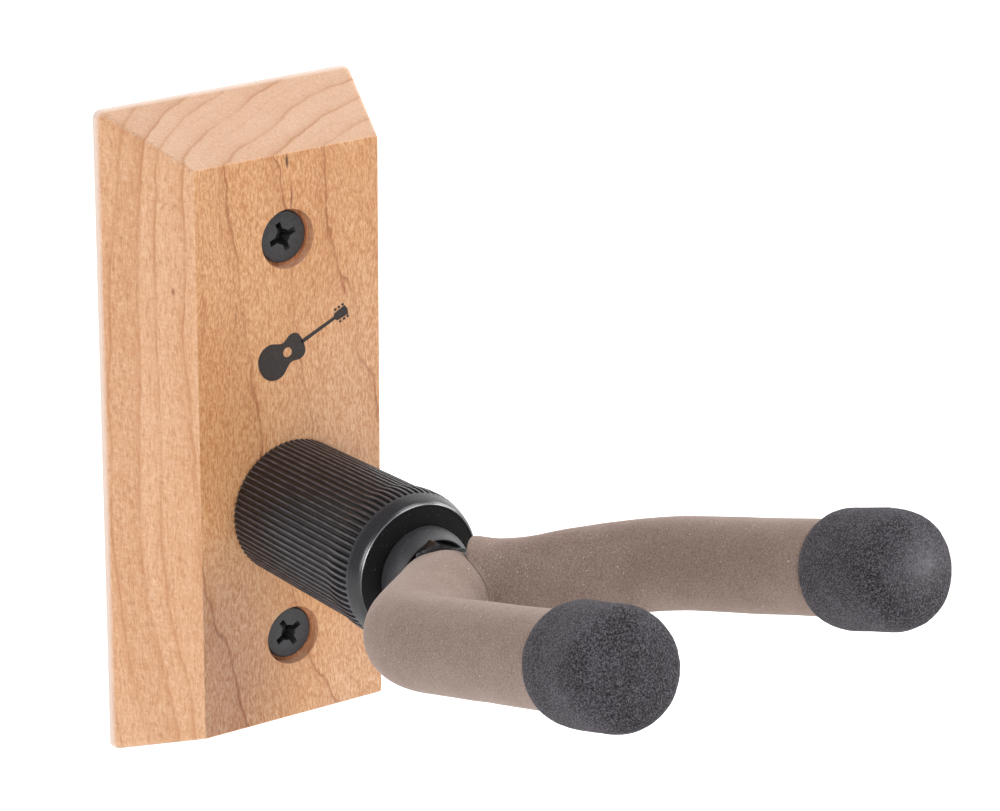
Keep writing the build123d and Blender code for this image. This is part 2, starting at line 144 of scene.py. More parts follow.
class Nodes:
    """Short calls for building one material's node tree."""

    SOCKETS = {
        "colour": "Base Color", "metallic": "Metallic", "roughness": "Roughness", "normal": "Normal",
        "specular": "Specular IOR Level", "sheen": "Sheen Weight", "sheen_roughness": "Sheen Roughness",
        "sheen_tint": "Sheen Tint",
    }

    def __init__(self, name):
        self.material = bpy.data.materials.new(name)
        self.material.use_nodes = True
        self.tree = self.material.node_tree
        self.tree.nodes.clear()
        self.shader = self.add("ShaderNodeBsdfPrincipled")
        output = self.add("ShaderNodeOutputMaterial")
        self.put(self.shader.outputs["BSDF"], output.inputs["Surface"])

    def add(self, kind, **settings):
        node = self.tree.nodes.new(kind)
        for key, value in settings.items():
            setattr(node, key, value)
        return node

    def put(self, value, socket):
        """Link a socket, or set a constant."""
        if isinstance(value, bpy.types.NodeSocket):
            self.tree.links.new(value, socket)
        else:
            socket.default_value = value

    def place_mm(self):
        """Object coordinates in millimetres."""
        coords = self.add("ShaderNodeTexCoord")
        return self.vector("SCALE", coords.outputs["Object"], scale=1000.0)

    def facing(self):
        """X, Y and Z of the surface's own direction."""
        return self.split(self.add("ShaderNodeTexCoord").outputs["Normal"])

    def split(self, vector):
        node = self.add("ShaderNodeSeparateXYZ")
        self.put(vector, node.inputs[0])
        return node.outputs["X"], node.outputs["Y"], node.outputs["Z"]

    def join(self, *parts):
        node = self.add("ShaderNodeCombineXYZ")
        for value, socket in zip(parts, node.inputs):
            self.put(value, socket)
        return node.outputs[0]

    def vector(self, operation, a, b=None, scale=None):
        node = self.add("ShaderNodeVectorMath", operation=operation)
        self.put(a, node.inputs[0])
        if b is not None:
            self.put(b, node.inputs[1])
        if scale is not None:
            self.put(scale, node.inputs["Scale"])
        return node.outputs["Value" if operation in ("DOT_PRODUCT", "DISTANCE") else "Vector"]

    def stretch(self, vector, x, y, z):
        return self.vector("MULTIPLY", vector, (x, y, z))

    def math(self, operation, a, b=None, c=None):
        node = self.add("ShaderNodeMath", operation=operation)
        for index, value in enumerate((a, b, c)):
            if value is not None:
                self.put(value, node.inputs[index])
        return node.outputs[0]

    def plus(self, a, b):
        return self.math("ADD", a, b)

    def minus(self, a, b):
        return self.math("SUBTRACT", a, b)

    def times(self, a, b):
        return self.math("MULTIPLY", a, b)

    def span(self, value, low, high, to_low=0.0, to_high=1.0):
        """Value carried from low..high to to_low..to_high, and held at the ends."""
        node = self.add("ShaderNodeMapRange", clamp=True)
        self.put(value, node.inputs["Value"])
        for key, number in (("From Min", low), ("From Max", high), ("To Min", to_low), ("To Max", to_high)):
            self.put(number, node.inputs[key])
        return node.outputs["Result"]

    def ramp(self, factor, stops, smooth=False):
        """stops is a list of (position, value)."""
        node = self.add("ShaderNodeValToRGB")
        self.put(factor, node.inputs["Fac"])
        ramp = node.color_ramp
        ramp.interpolation = "EASE" if smooth else "LINEAR"
        while len(ramp.elements) < len(stops):
            ramp.elements.new(0.5)
        for element, (position, value) in zip(ramp.elements, stops):
            element.position = position
            element.color = (value, value, value, 1)
        return node.outputs["Color"]

    def noise(self, vector, scale, detail, rough, distortion=0.0, colour=False):
        node = self.add("ShaderNodeTexNoise", noise_dimensions="3D")
        self.put(vector, node.inputs["Vector"])
        node.inputs["Scale"].default_value = scale
        node.inputs["Detail"].default_value = detail
        node.inputs["Roughness"].default_value = rough
        node.inputs["Distortion"].default_value = distortion
        return node.outputs["Color" if colour else "Fac"]

    def cells(self, vector, scale):
        """Distance to the nearest of many scattered points."""
        node = self.add("ShaderNodeTexVoronoi", feature="F1")
        self.put(vector, node.inputs["Vector"])
        node.inputs["Scale"].default_value = scale
        return node.outputs["Distance"]

    def mix(self, factor, a, b, blend="MIX"):
        node = self.add("ShaderNodeMix", data_type="RGBA", blend_type=blend)
        self.put(factor, node.inputs[0])
        for value, socket in ((a, node.inputs[6]), (b, node.inputs[7])):
            self.put(value if isinstance(value, bpy.types.NodeSocket) else (*value, 1), socket)
        return node.outputs[2]

    def tint(self, colour, tone, value, low, high, weight=1.0):
        """Tone laid over colour: none of it where value is at low, weight of it at high."""
        return self.mix(self.span(value, low, high, 0.0, weight), colour, tone)

    def bump(self, height, distance_mm, strength, normal=None):
        node = self.add("ShaderNodeBump")
        node.inputs["Strength"].default_value = strength
        node.inputs["Distance"].default_value = distance_mm * MM
        self.put(height, node.inputs["Height"])
        if normal is not None:
            self.put(normal, node.inputs["Normal"])
        return node.outputs["Normal"]

    def surface(self, **sockets):
        for key, value in sockets.items():
            value = (*value, 1) if isinstance(value, tuple) else value
            self.put(value, self.shader.inputs[self.SOCKETS[key]])
        return self.material


# ---------------------------------------------------------------- wood
WOOD_LIGHT = srgb(229, 184, 148)
WOOD_WARM = srgb(221, 171, 132)
WOOD_AMBER = srgb(209, 152, 105)
WOOD_TAN = srgb(203, 150, 108)
WOOD_RUST = srgb(188, 126, 82)
WOOD_BROWN = srgb(160, 99, 60)
WOOD_PALE = srgb(240, 204, 172)
WOOD_END = srgb(226, 190, 164)
WOOD_EDGE_GLARE = srgb(238, 222, 212)
WOOD_DEEP_BROWN = srgb(150, 84, 56)
WOOD_LINE = srgb(154, 90, 58)
WOOD_SEAM = srgb(182, 120, 74)
# multiplied into the front face, darker and redder than the bevels, and into the sawn-across ends
FRONT_TINT = (0.91, 0.83, 0.69)
END_TINT = (0.90, 0.94, 1.0)

# The trunk's pith in x and y, its mean ring width, and a typical ring's radius
PITH = (45.0, -105.0)
RING = 6.2
TYPICAL_R = 110.0
RINGS_SEEN = (90.0, 127.0)
RING_CREEP_LEAST = 0.8
RING_CREEP_RANGE = 4.0
# (share of the way outwards through the rings seen, how far out the rings there have crept, from 0 to 1)
RING_CREEP = [(0.0, 0.98), (0.18, 0.75), (0.34, 0.57), (0.53, 0.92), (0.70, 0.92), (0.80, 0.32), (1.0, 0.25)]
# (share of a ring's width, darkness), for lines on the front face, on the bevels, and between two rings
THIN_LINE = [(0.0, 0.70), (0.010, 1.0), (0.028, 0.90), (0.048, 0.26), (0.20, 0.10), (0.60, 0.0), (0.98, 0.05),
             (1.0, 0.55)]
WIDE_LINE = [(0.0, 0.75), (0.02, 1.0), (0.05, 0.85), (0.10, 0.42), (0.30, 0.16), (0.70, 0.0), (0.94, 0.10),
             (1.0, 0.70)]
SECOND_LINE = [(0.0, 0.45), (0.02, 0.7), (0.05, 0.0), (1.0, 0.0)]
# the darker stretch of rings along the left bevel: where it starts and ends
DARK_RINGS = ((119.6, 120.4), (126.2, 125.6))

# multiplied tone, place and reach on the front face of broad patches: an amber one at the left, painted shade
# at the lower left and painted light at the right
FRONT_TONE_AND_LIGHT_PATCHES = [
    ((0.90, 0.84, 0.76), (-20.0, 8.0), (17.0, 26.0)),
    ((0.76, 0.80, 0.98), (-20.0, -48.0), (24.0, 34.0)),
    ((1.06, 1.14, 1.34), (22.0, 4.0), (28.0, 34.0)),
    ((0.99, 1.07, 1.26), (20.0, -56.0), (22.0, 30.0)),
]
CURLY_PLACE = (10.0, 44.0)
CURLY_REACH = (13.0, 15.0)
NICK_PLACE = (-21.9, -16.9, 17.6)
# x, z, half width, half height, lean, tone and weight of each gum streak on the front face
GUM_STREAKS = [
    (0.0, 54.4, 0.45, 1.7, -0.1, srgb(70, 44, 34), 0.85),
    (0.9, 47.2, 0.32, 2.6, 0.08, srgb(112, 40, 38), 0.75),
    (12.2, 28.0, 0.40, 2.8, -0.30, srgb(150, 66, 52), 0.55),
    (-11.6, 26.6, 0.30, 2.4, 0.05, srgb(150, 92, 58), 0.60),
]


def streak(n, x, z, place, half_width, half_height, lean=0.0):
    """Soft oval mark on the front face at one place, leaning by so many mm per mm."""
    place_x, _, place_z = n.split(place)
    up = n.minus(place_z, z)
    side = n.minus(place_x, n.math("MULTIPLY_ADD", up, lean, x))
    wide = n.math("POWER", n.math("DIVIDE", side, half_width), 2.0)
    tall = n.math("POWER", n.math("DIVIDE", up, half_height), 2.0)
    return n.span(n.plus(wide, tall), 1.0, 0.10)


def sway(n, place, stretch, detail, rough, reach):
    """Wandering push in x and y, up to half of reach each way."""
    push = n.noise(n.stretch(place, *stretch), 1.0, detail, rough, colour=True)
    return n.vector("MULTIPLY", n.vector("SUBTRACT", push, (0.5, 0.5, 0.5)), (reach, reach, 0.0))


def trunk_space(n, place, place_y):
    """Distance from the pith, way round it and height in mm, waving as a trunk's grain does."""
    wave = sway(n, place, (0.05, 0.05, 0.035), 2.0, 0.5, 5.0)
    ripple = sway(n, place, (0.25, 0.25, 0.11), 3.0, 0.6, 1.9)
    to_front = n.span(place_y, -12.0, -21.0, 0.30, 1.0)
    bent = n.vector("ADD", n.vector("ADD", place, wave), n.vector("SCALE", ripple, scale=to_front))
    x, y, height = n.split(bent)
    across = n.minus(x, PITH[0])
    ahead = n.minus(y, PITH[1])
    radius = n.math("SQRT", n.plus(n.math("POWER", across, 2.0), n.math("POWER", ahead, 2.0)))
    around = n.times(n.math("ARCTAN2", ahead, n.times(across, -1.0)), TYPICAL_R)
    return radius, around, height


def growth_lines(n, radius, around, height, front):
    """Radius as the tree grew it, and how dark each ring's edge and the fainter line inside it are."""
    # the trunk bows: rings at the back bend in at both ends, those in front lean over all the way down,
    # and all of them bend in near the foot
    front_share = n.span(radius, 122.0, 95.0)
    bow = n.times(n.math("POWER", n.math("DIVIDE", n.plus(height, 5.0), 60.0), 2.0), 3.2)
    lean = n.times(n.minus(60.0, height), 0.075)
    foot = n.times(n.span(height, -18.0, -62.0), 3.4)
    shift = n.plus(n.plus(n.times(bow, n.minus(1.0, front_share)), foot), n.times(lean, front_share))
    growth = n.plus(radius, shift)

    creep = n.ramp(n.span(growth, *RINGS_SEEN), RING_CREEP, smooth=True)
    creep_mm = n.math("MULTIPLY_ADD", creep, RING_CREEP_RANGE, RING_CREEP_LEAST)
    turn = n.math("DIVIDE", n.minus(growth, creep_mm), RING)
    share = n.math("FRACT", turn)
    thin, wide = n.ramp(share, THIN_LINE), n.ramp(share, WIDE_LINE)
    line = n.math("MULTIPLY_ADD", n.minus(thin, wide), front, wide)
    second = n.ramp(n.math("FRACT", n.plus(turn, 0.42)), SECOND_LINE)

    # some rings are bolder than others, and each one fades in and out along itself
    along_ring = n.join(n.times(n.math("FLOOR", turn), 3.7), n.times(around, 0.05), n.times(height, 0.045))
    strength = n.noise(along_ring, 1.0, 2.0, 0.6)
    line = n.times(line, n.span(strength, 0.36, 0.60, 0.28, 1.0))
    second = n.times(second, n.span(strength, 0.62, 0.40, 0.0, 0.8))
    return growth, line, second


def cherry_wood():
    """Rings round a pith off the block's front right; rays and vessels follow the same cylinder."""
    n = Nodes("cherry_wood")
    place = n.place_mm()
    _, place_y, _ = n.split(place)
    radius, around, height = trunk_space(n, place, place_y)

    # masks for the front face, the two sawn-across ends, and the sides' last millimetre by the wall, which
    # gets a painted highlight
    _, facing_y, facing_z = n.facing()
    front = n.span(facing_y, -0.97, -0.995)
    across_end = n.span(n.math("ABSOLUTE", facing_z), 0.55, 0.85)
    back_edge_glare = n.times(n.span(place_y, -1.9, -0.9), n.span(facing_y, 0.8, 0.3))
    growth, line, second = growth_lines(n, radius, around, height, front)

    trunk = n.join(radius, around, height)
    rays = n.noise(n.stretch(trunk, 0.45, 2.8, 1.9), 1.0, 3.0, 0.65)
    flecks = n.noise(n.stretch(trunk, 0.30, 1.5, 0.75), 1.0, 3.0, 0.7)
    vessels = n.noise(n.stretch(trunk, 2.6, 2.6, 0.30), 1.0, 3.0, 0.7)
    hairs = n.noise(n.stretch(trunk, 1.5, 4.5, 0.55), 1.0, 2.0, 0.6)
    bands = n.noise(n.stretch(trunk, 0.16, 0.05, 0.012), 1.0, 2.0, 0.5)
    fibres = n.noise(n.stretch(trunk, 2.7, 2.7, 0.75), 1.0, 3.0, 0.75)
    cloud = n.noise(n.stretch(place, 0.06, 0.06, 0.035), 1.0, 2.0, 0.5)
    curl = n.noise(n.stretch(place, 0.75, 0.75, 0.55), 1.0, 4.0, 0.7, distortion=2.2)

    colour = n.tint(WOOD_LIGHT, WOOD_WARM, bands, 0.32, 0.68)
    colour = n.tint(colour, WOOD_AMBER, cloud, 0.30, 0.70, 0.45)
    start, end = DARK_RINGS
    dark_band = n.times(n.span(growth, *start), n.span(growth, *end))
    colour = n.mix(n.times(dark_band, 0.42), colour, WOOD_TAN)
    tick = n.times(n.span(flecks, 0.52, 0.64), n.math("MULTIPLY_ADD", dark_band, 0.75, 0.12))
    colour = n.mix(n.times(tick, 0.42), colour, WOOD_RUST)
    colour = n.tint(colour, WOOD_TAN, rays, 0.50, 0.66, 0.45)
    colour = n.tint(colour, WOOD_PALE, rays, 0.47, 0.32, 0.45)
    colour = n.tint(colour, WOOD_RUST, vessels, 0.50, 0.66, 0.40)
    colour = n.tint(colour, WOOD_PALE, vessels, 0.46, 0.32, 0.28)
    colour = n.tint(colour, WOOD_BROWN, hairs, 0.57, 0.70, 0.42)
    crisp = n.span(front, 0.0, 1.0, 0.40, 1.0)
    colour = n.mix(n.times(n.span(fibres, 0.51, 0.59, 0.0, 0.58), crisp), colour, WOOD_RUST)
    colour = n.mix(n.times(n.span(fibres, 0.48, 0.40, 0.0, 0.52), crisp), colour, WOOD_PALE)
    curly = n.math("MULTIPLY_ADD", streak(n, *CURLY_PLACE, place, *CURLY_REACH), 0.42, 0.10)
    colour = n.mix(n.times(n.span(curl, 0.50, 0.72), curly), colour, WOOD_RUST)
    colour = n.mix(n.times(n.span(curl, 0.46, 0.26), curly), colour, WOOD_PALE)
    colour = n.mix(n.times(across_end, 0.28), colour, WOOD_END)
    line_tone = n.mix(front, WOOD_SEAM, WOOD_LINE)
    colour = n.mix(n.times(line, 0.74), colour, line_tone)
    colour = n.mix(n.times(second, 0.42), colour, line_tone)

    # the front face is darker and redder than the bevels, unevenly
    front_toned = n.mix(1.0, colour, FRONT_TINT, "MULTIPLY")
    colour = n.mix(across_end, colour, n.mix(1.0, colour, END_TINT, "MULTIPLY"))
    colour = n.mix(front, colour, front_toned)
    # an amber patch at the left, painted shade at the lower left, and painted light over the right of the
    # front face
    for tone, centre, reach in FRONT_TONE_AND_LIGHT_PATCHES:
        patch = n.times(front, streak(n, *centre, place, *reach))
        colour = n.mix(patch, colour, tone, "MULTIPLY")
    nick = n.vector("DISTANCE", n.stretch(place, 1.0, 1.0, 0.55), NICK_PLACE)
    colour = n.tint(colour, WOOD_DEEP_BROWN, nick, 0.55, 0.25, 0.75)
    # painted highlight: the sides' last millimetre by the wall is painted near white, as if lit from behind
    colour = n.mix(n.times(back_edge_glare, 0.75), colour, WOOD_EDGE_GLARE)

    # gum streaks with ragged outlines, and the darker walls of the two counterbores
    ragged = n.vector("ADD", place, n.join(n.times(n.minus(hairs, 0.5), 0.9)))
    for x, z, wide, tall, lean, tone, weight in GUM_STREAKS:
        mark = n.times(streak(n, x, z, ragged, wide, tall, lean), front)
        colour = n.mix(n.times(mark, weight), colour, tone)
    for z in (SCREW_Z, -SCREW_Z):
        bore = n.vector("DISTANCE", n.stretch(place, 1.0, 0.0, 1.0), (0.0, 0.0, z))
        wall = n.times(n.span(bore, COUNTERBORE_R + 0.3, COUNTERBORE_R + 0.2),
                       n.span(place_y, 0.1 - BLOCK_T, 0.3 - BLOCK_T))
        colour = n.mix(n.times(wall, n.span(vessels, 0.3, 0.7, 0.15, 0.65)), colour, WOOD_DEEP_BROWN)

    relief = n.plus(n.times(vessels, -0.6), n.times(rays, -0.5))
    normal = n.bump(n.plus(relief, n.times(line, -0.35)), 0.07, 0.45)
    rough = n.span(vessels, 0.3, 0.7, 0.44, 0.60)
    return n.surface(colour=colour, roughness=rough, normal=normal, specular=0.35)


# ---------------------------------------------------------------- metals and plastics
def black_anodised():
    """Satin black barrel: crests of the ribs painted lighter as highlights over painted shade in the grooves,
    a glossier shoulder and a painted highlight on the rim.
    """
    n = Nodes("black_anodised")
    place = n.place_mm()
    depth = n.times(n.split(place)[1], -1.0)
    radius = n.vector("DISTANCE", n.stretch(place, 1.0, 0.0, 1.0), (0.0, 0.0, AXIS_Z))
    crest_radius = n.math("MULTIPLY_ADD", n.minus(depth, BLOCK_T), HOUSING_FLARE, HOUSING_R_BACK)
    crest = n.span(n.minus(radius, crest_radius), -0.34, -0.06)
    shoulder = n.span(depth, SHOULDER_BACK - 0.4, SHOULDER_BACK + 0.6)
    # painted highlight along the rim's edge, brightest at its upper left where the light catches it
    glint = n.span(n.vector("DISTANCE", place, RIM_GLINT), 14.5, 9.5, 0.05, 0.65)
    rim = n.times(n.span(depth, RIM_DEPTH, RIM_DEPTH + 0.05), glint)
    rim = n.times(n.span(radius, RIM_R, RIM_R + 0.06), rim)

    rings = n.noise(n.stretch(place, 0.4, 9.0, 0.4), 1.0, 2.0, 0.6)
    grain = n.noise(place, 6.0, 3.0, 0.6)
    # pale specks of dust on the barrel
    pale_spots = n.noise(place, 2.6, 2.0, 0.5)
    # painted highlights on the rib crests, uneven in patches
    patchy = n.noise(n.stretch(place, 1.6, 0.35, 1.6), 1.0, 3.0, 0.65)
    lit_crest = n.tint(srgb(40, 40, 44), srgb(82, 79, 85), patchy, 0.35, 0.70)
    smooth = n.tint(srgb(20, 19, 22), srgb(40, 38, 43), grain, 0.35, 0.7)
    # painted shade in the grooves, painted highlights on the crests, and the darker glossier shoulder
    colour = n.mix(shoulder, n.mix(crest, srgb(9, 8, 9), lit_crest), smooth)
    colour = n.tint(colour, srgb(120, 116, 118), pale_spots, 0.70, 0.78, 0.5)
    colour = n.mix(n.times(rim, 0.85), colour, srgb(176, 178, 182))
    rough = n.minus(n.span(rings, 0.3, 0.7, 0.36, 0.50), n.times(shoulder, 0.15))
    normal = n.bump(n.plus(rings, n.times(grain, 0.5)), 0.02, 0.4)
    return n.surface(colour=colour, roughness=rough, normal=normal, metallic=n.times(rim, 0.8), specular=0.7)


def black_phosphate():
    """Dull black screws, with painted shade down in the cross recess."""
    n = Nodes("black_phosphate")
    place = n.place_mm()
    grain = n.noise(place, 5.0, 4.0, 0.7)
    spots = n.noise(place, 2.2, 3.0, 0.6)
    x, y, z = n.split(place)
    from_axis = n.math("ABSOLUTE", n.minus(n.math("ABSOLUTE", z), SCREW_Z))
    from_axis = n.math("MAXIMUM", from_axis, n.math("ABSOLUTE", x))
    recess = n.times(n.span(from_axis, RECESS_REACH + 0.1, RECESS_REACH - 0.1),
                     n.span(y, -SCREW_FACE, 0.3 - SCREW_FACE))
    colour = n.tint(srgb(30, 30, 33), srgb(70, 70, 74), grain, 0.3, 0.7)
    # painted shade down in the cross recess
    colour = n.mix(n.times(recess, 0.8), colour, srgb(5, 5, 6))
    colour = n.tint(colour, srgb(112, 98, 90), spots, 0.60, 0.74, 0.45)
    rough = n.span(grain, 0.3, 0.7, 0.42, 0.6)
    return n.surface(colour=colour, roughness=rough, normal=n.bump(grain, 0.06, 0.5), specular=0.6)


def black_plastic(name, low, high, rough, bump, specular):
    n = Nodes(name)
    place = n.place_mm()
    grain = n.noise(place, 4.5, 3.0, 0.65)
    specks = n.noise(place, 3.1, 2.0, 0.5)
    colour = n.tint(srgb(*low), srgb(*high), grain, 0.3, 0.7)
    colour = n.tint(colour, srgb(150, 148, 150), specks, 0.68, 0.75, 0.4)
    return n.surface(colour=colour, roughness=rough, normal=n.bump(grain, bump, 0.5), specular=specular)


def gloss_enamel():
    n = Nodes("black_enamel")
    orange_peel = n.noise(n.place_mm(), 1.6, 2.0, 0.5)
    colour = n.tint(srgb(16, 16, 18), srgb(30, 30, 33), orange_peel, 0.3, 0.7)
    rough = n.span(orange_peel, 0.3, 0.7, 0.14, 0.24)
    return n.surface(colour=colour, roughness=rough, normal=n.bump(orange_peel, 0.06, 0.4), specular=0.45)


def steel(name, tone, rough):
    """Machined or plated steel with faint marks round the swivel axis."""
    n = Nodes(name)
    place = n.place_mm()
    marks = n.noise(n.stretch(place, 1.0, 10.0, 1.0), 1.0, 3.0, 0.6)
    stain = n.noise(place, 0.5, 3.0, 0.6)
    bright = srgb(*tone)
    dark = tuple(channel * 0.72 for channel in bright)
    colour = n.tint(dark, bright, stain, 0.3, 0.7)
    rough = n.span(marks, 0.3, 0.7, rough, rough + 0.15)
    return n.surface(colour=colour, metallic=1.0, roughness=rough, normal=n.bump(marks, 0.02, 0.3))


def nylon():
    n = Nodes("white_nylon")
    cloud = n.noise(n.place_mm(), 0.8, 3.0, 0.5)
    colour = n.tint(srgb(214, 212, 200), srgb(232, 230, 220), cloud, 0.3, 0.7)
    rough = n.span(cloud, 0.3, 0.7, 0.35, 0.5)
    return n.surface(colour=colour, roughness=rough, normal=n.bump(cloud, 0.05, 0.3))


# ---------------------------------------------------------------- foams, ink and backdrop
def tan_foam():
    """Skinned closed-cell foam: matte and mottled, with fine cells and a few pale specks and dark pits."""
    n = Nodes("tan_foam")
    place = n.place_mm()
    mottle = n.noise(place, 0.16, 3.0, 0.55)
    cloud = n.noise(place, 0.9, 4.0, 0.6)
    cells = n.noise(place, 3.0, 2.0, 0.75)
    specks = n.noise(place, 2.3, 1.0, 0.5)
    pits = n.noise(place, 2.5, 1.0, 0.5)
    colour = n.tint(srgb(130, 110, 100), srgb(140, 121, 111), mottle, 0.35, 0.65)
    colour = n.tint(colour, srgb(150, 132, 123), cloud, 0.3, 0.7, 0.35)
    colour = n.tint(colour, srgb(170, 151, 141), cells, 0.51, 0.60, 0.34)
    colour = n.tint(colour, srgb(98, 80, 71), cells, 0.49, 0.40, 0.34)
    colour = n.tint(colour, srgb(222, 210, 200), specks, 0.735, 0.765, 0.7)
    colour = n.tint(colour, srgb(66, 52, 44), pits, 0.29, 0.26, 0.5)
    normal = n.bump(cells, 0.12, 0.5, n.bump(cloud, 0.10, 0.35))
    return n.surface(colour=colour, roughness=0.88, normal=normal, sheen=0.30, sheen_roughness=0.45,
                     sheen_tint=srgb(236, 218, 210), specular=0.2)


def grey_foam():
    """Open-pore sponge: dark pits of painted shade between paler cell walls with painted highlights, and a
    painted highlight on the right cap's outer end.
    """
    n = Nodes("grey_foam")
    place = n.place_mm()
    grit = n.noise(place, 2.9, 3.0, 0.80)
    fine = n.noise(place, 4.4, 2.0, 0.7)
    cloud = n.noise(place, 0.16, 3.0, 0.6)
    jitter = n.vector("SCALE", n.noise(place, 1.4, 2.0, 0.6, colour=True), scale=0.7)
    pores = n.cells(n.vector("ADD", place, jitter), 1.9)
    colour = n.tint(srgb(50, 47, 51), srgb(74, 70, 76), cloud, 0.35, 0.65)
    # painted light and shade in the sponge's grain: paler cell walls carry painted highlights, and the pits
    # between them painted shade
    colour = n.tint(colour, srgb(108, 104, 110), grit, 0.50, 0.60, 0.85)
    colour = n.tint(colour, srgb(22, 20, 22), grit, 0.49, 0.39, 0.85)
    colour = n.tint(colour, srgb(16, 15, 16), pores, 0.26, 0.12, 0.55)
    colour = n.tint(colour, srgb(168, 165, 171), fine, 0.62, 0.70, 0.65)
    # painted highlight: the right cap's outer end is painted paler where the light from the right grazes it
    pale_spots = n.math("POWER", n.span(n.vector("DISTANCE", place, CAP_HIGHLIGHT), 11.0, 1.0), 2.6)
    pale_spots = n.times(pale_spots, n.span(n.noise(place, 0.8, 3.0, 0.6), 0.35, 0.65, 0.16, 0.34))
    colour = n.mix(pale_spots, colour, srgb(176, 171, 178))
    normal = n.bump(n.plus(grit, n.times(fine, 0.4)), 0.45, 0.8)
    return n.surface(colour=colour, roughness=0.95, normal=normal, sheen=0.15, sheen_roughness=0.35,
                     sheen_tint=srgb(220, 216, 224), specular=0.15)


def ink():
    n = Nodes("printed_ink")
    # the print is worn in patches
    patchy = n.noise(n.place_mm(), 3.0, 4.0, 0.7)
    colour = n.tint(srgb(38, 33, 32), srgb(66, 52, 44), patchy, 0.45, 0.75)
    return n.surface(colour=colour, roughness=0.5, normal=n.bump(patchy, 0.02, 0.3))


def backdrop_white(away):
    """Pale sweep that glows a little, less so under the object than far behind it."""
    n = Nodes("backdrop_white")
    place = n.place_mm()
    tone = 0.80
    cloud = n.noise(place, 0.004, 2.0, 0.5)
    colour = n.tint((tone,) * 3, (tone * 0.99,) * 3, cloud, 0.3, 0.7)
    behind = n.vector("DOT_PRODUCT", place, tuple(away))
    n.put((1, 1, 1, 1), n.shader.inputs["Emission Color"])
    n.put(n.span(behind, 150.0, 450.0, 0.15, 0.68), n.shader.inputs["Emission Strength"])
    return n.surface(colour=colour, roughness=0.9, specular=0.1)


# ---------------------------------------------------------------- yoke geometry
def yoke_frame():
    """Matrix from the yoke's own plane (x sideways, y forwards, z up) to the row frame, in millimetres."""
    side = Vector((1, 0, 0))
    forward = Vector((0, -math.cos(YOKE_TILT), math.sin(YOKE_TILT)))
    up = side.cross(forward) * -1
    turn = Matrix((side, forward, up)).transposed().to_4x4()
    placed = Matrix.Translation((0, -APEX_DEPTH, AXIS_Z + APEX_RISE)) @ turn
    pivot = Matrix.Translation((0, 0, AXIS_Z))
    swivel = Matrix.Rotation(YOKE_TURN, 4, Vector((0, -1, 0)))
    return np.array(pivot @ swivel @ pivot.inverted() @ placed)


YOKE = yoke_frame()


def to_row(points):
    """Yoke-frame millimetres to row-frame metres."""
    return (np.asarray(points, float) @ YOKE[:3, :3].T + YOKE[:3, 3]) * MM


def leg_direction(side):
    return np.array([SIDE[side] * math.sin(LEG_ANGLE), math.cos(LEG_ANGLE)])


def arm_direction(side):
    return np.array([SIDE[side] * math.sin(ARM_SPLAY), math.cos(ARM_SPLAY)])


def centreline(side, start, end, step):
    """Points and unit tangents in the yoke's plane, from start mm along the leg to end mm along the arm."""
    leg, arm = leg_direction(side), arm_direction(side)
    first = LEG_LENGTH - BEND_TANGENT - start
    total = first + BEND_LENGTH + end - BEND_TANGENT
    inward = np.array([-SIDE[side] * leg[1], SIDE[side] * leg[0]])
    points, tangents = [], []
    for s in np.linspace(0, total, int(total / step) + 1):
        if s < first:
            points.append(leg * (start + s))
            tangents.append(leg)
        elif s < first + BEND_LENGTH:
            turn = (s - first) / ARM_BEND_R
            offset = leg * math.sin(turn) + inward * (1 - math.cos(turn))
            points.append(leg * (LEG_LENGTH - BEND_TANGENT) + offset * ARM_BEND_R)
            tangents.append(leg * math.cos(turn) + inward * math.sin(turn))
        else:
            points.append(leg * LEG_LENGTH + arm * (BEND_TANGENT + s - first - BEND_LENGTH))
            tangents.append(arm)
    return np.array(points), np.array(tangents)


def lump(point, size, seed):
    """Smooth noise from -1 to 1 at a feature size in millimetres."""
    return noise.noise(Vector(point) / size + Vector((seed * 7.3, seed * 3.1, seed * 5.7)))


def bell(distance, centre, reach):
    """1 at the centre, falling to 1/e at reach."""
    return np.exp(-(((distance - centre) / reach) ** 2))


def mesh_object(name, vertices, faces, material, smooth=True):
    mesh = bpy.data.meshes.new(name)
    mesh.from_pydata([tuple(v) for v in vertices], [], faces)
    mesh.update()
    if smooth:
        mesh.polygons.foreach_set("use_smooth", [True] * len(mesh.polygons))
    mesh.materials.append(material)
    made = bpy.data.objects.new(name, mesh)
    bpy.context.scene.collection.objects.link(made)
    return made


def grid_faces(rows, columns):
    """Quads of a grid that closes on itself across its columns."""
    faces = []
    for row in range(rows - 1):
        for column in range(columns):
            after = (column + 1) % columns
            base, over = row * columns, (row + 1) * columns
            faces.append((base + column, base + after, over + after, over + column))
    return faces


# ---------------------------------------------------------------- foam sleeves
SLEEVE_SEGMENTS = 120
SLEEVE_ROW_STEP = 0.5
EDGE_ROWS = 6
CENTRELINE_STEP = 0.25
# how far each end's skin turns back into the bore
BORE_TURN = 1.6
# crease on the inside of each bend
FOLD_DEPTH = 0.55
FOLD_REACH = 2.2
# height and feature size of the skin's slow and quick waves, and the seeds of both
SLOW_WAVE, QUICK_WAVE = (0.10, 14), (0.03, 4)
SLOW_SEED, QUICK_SEED = {"left": 1, "right": 2}, 3
WAVE_R = 8


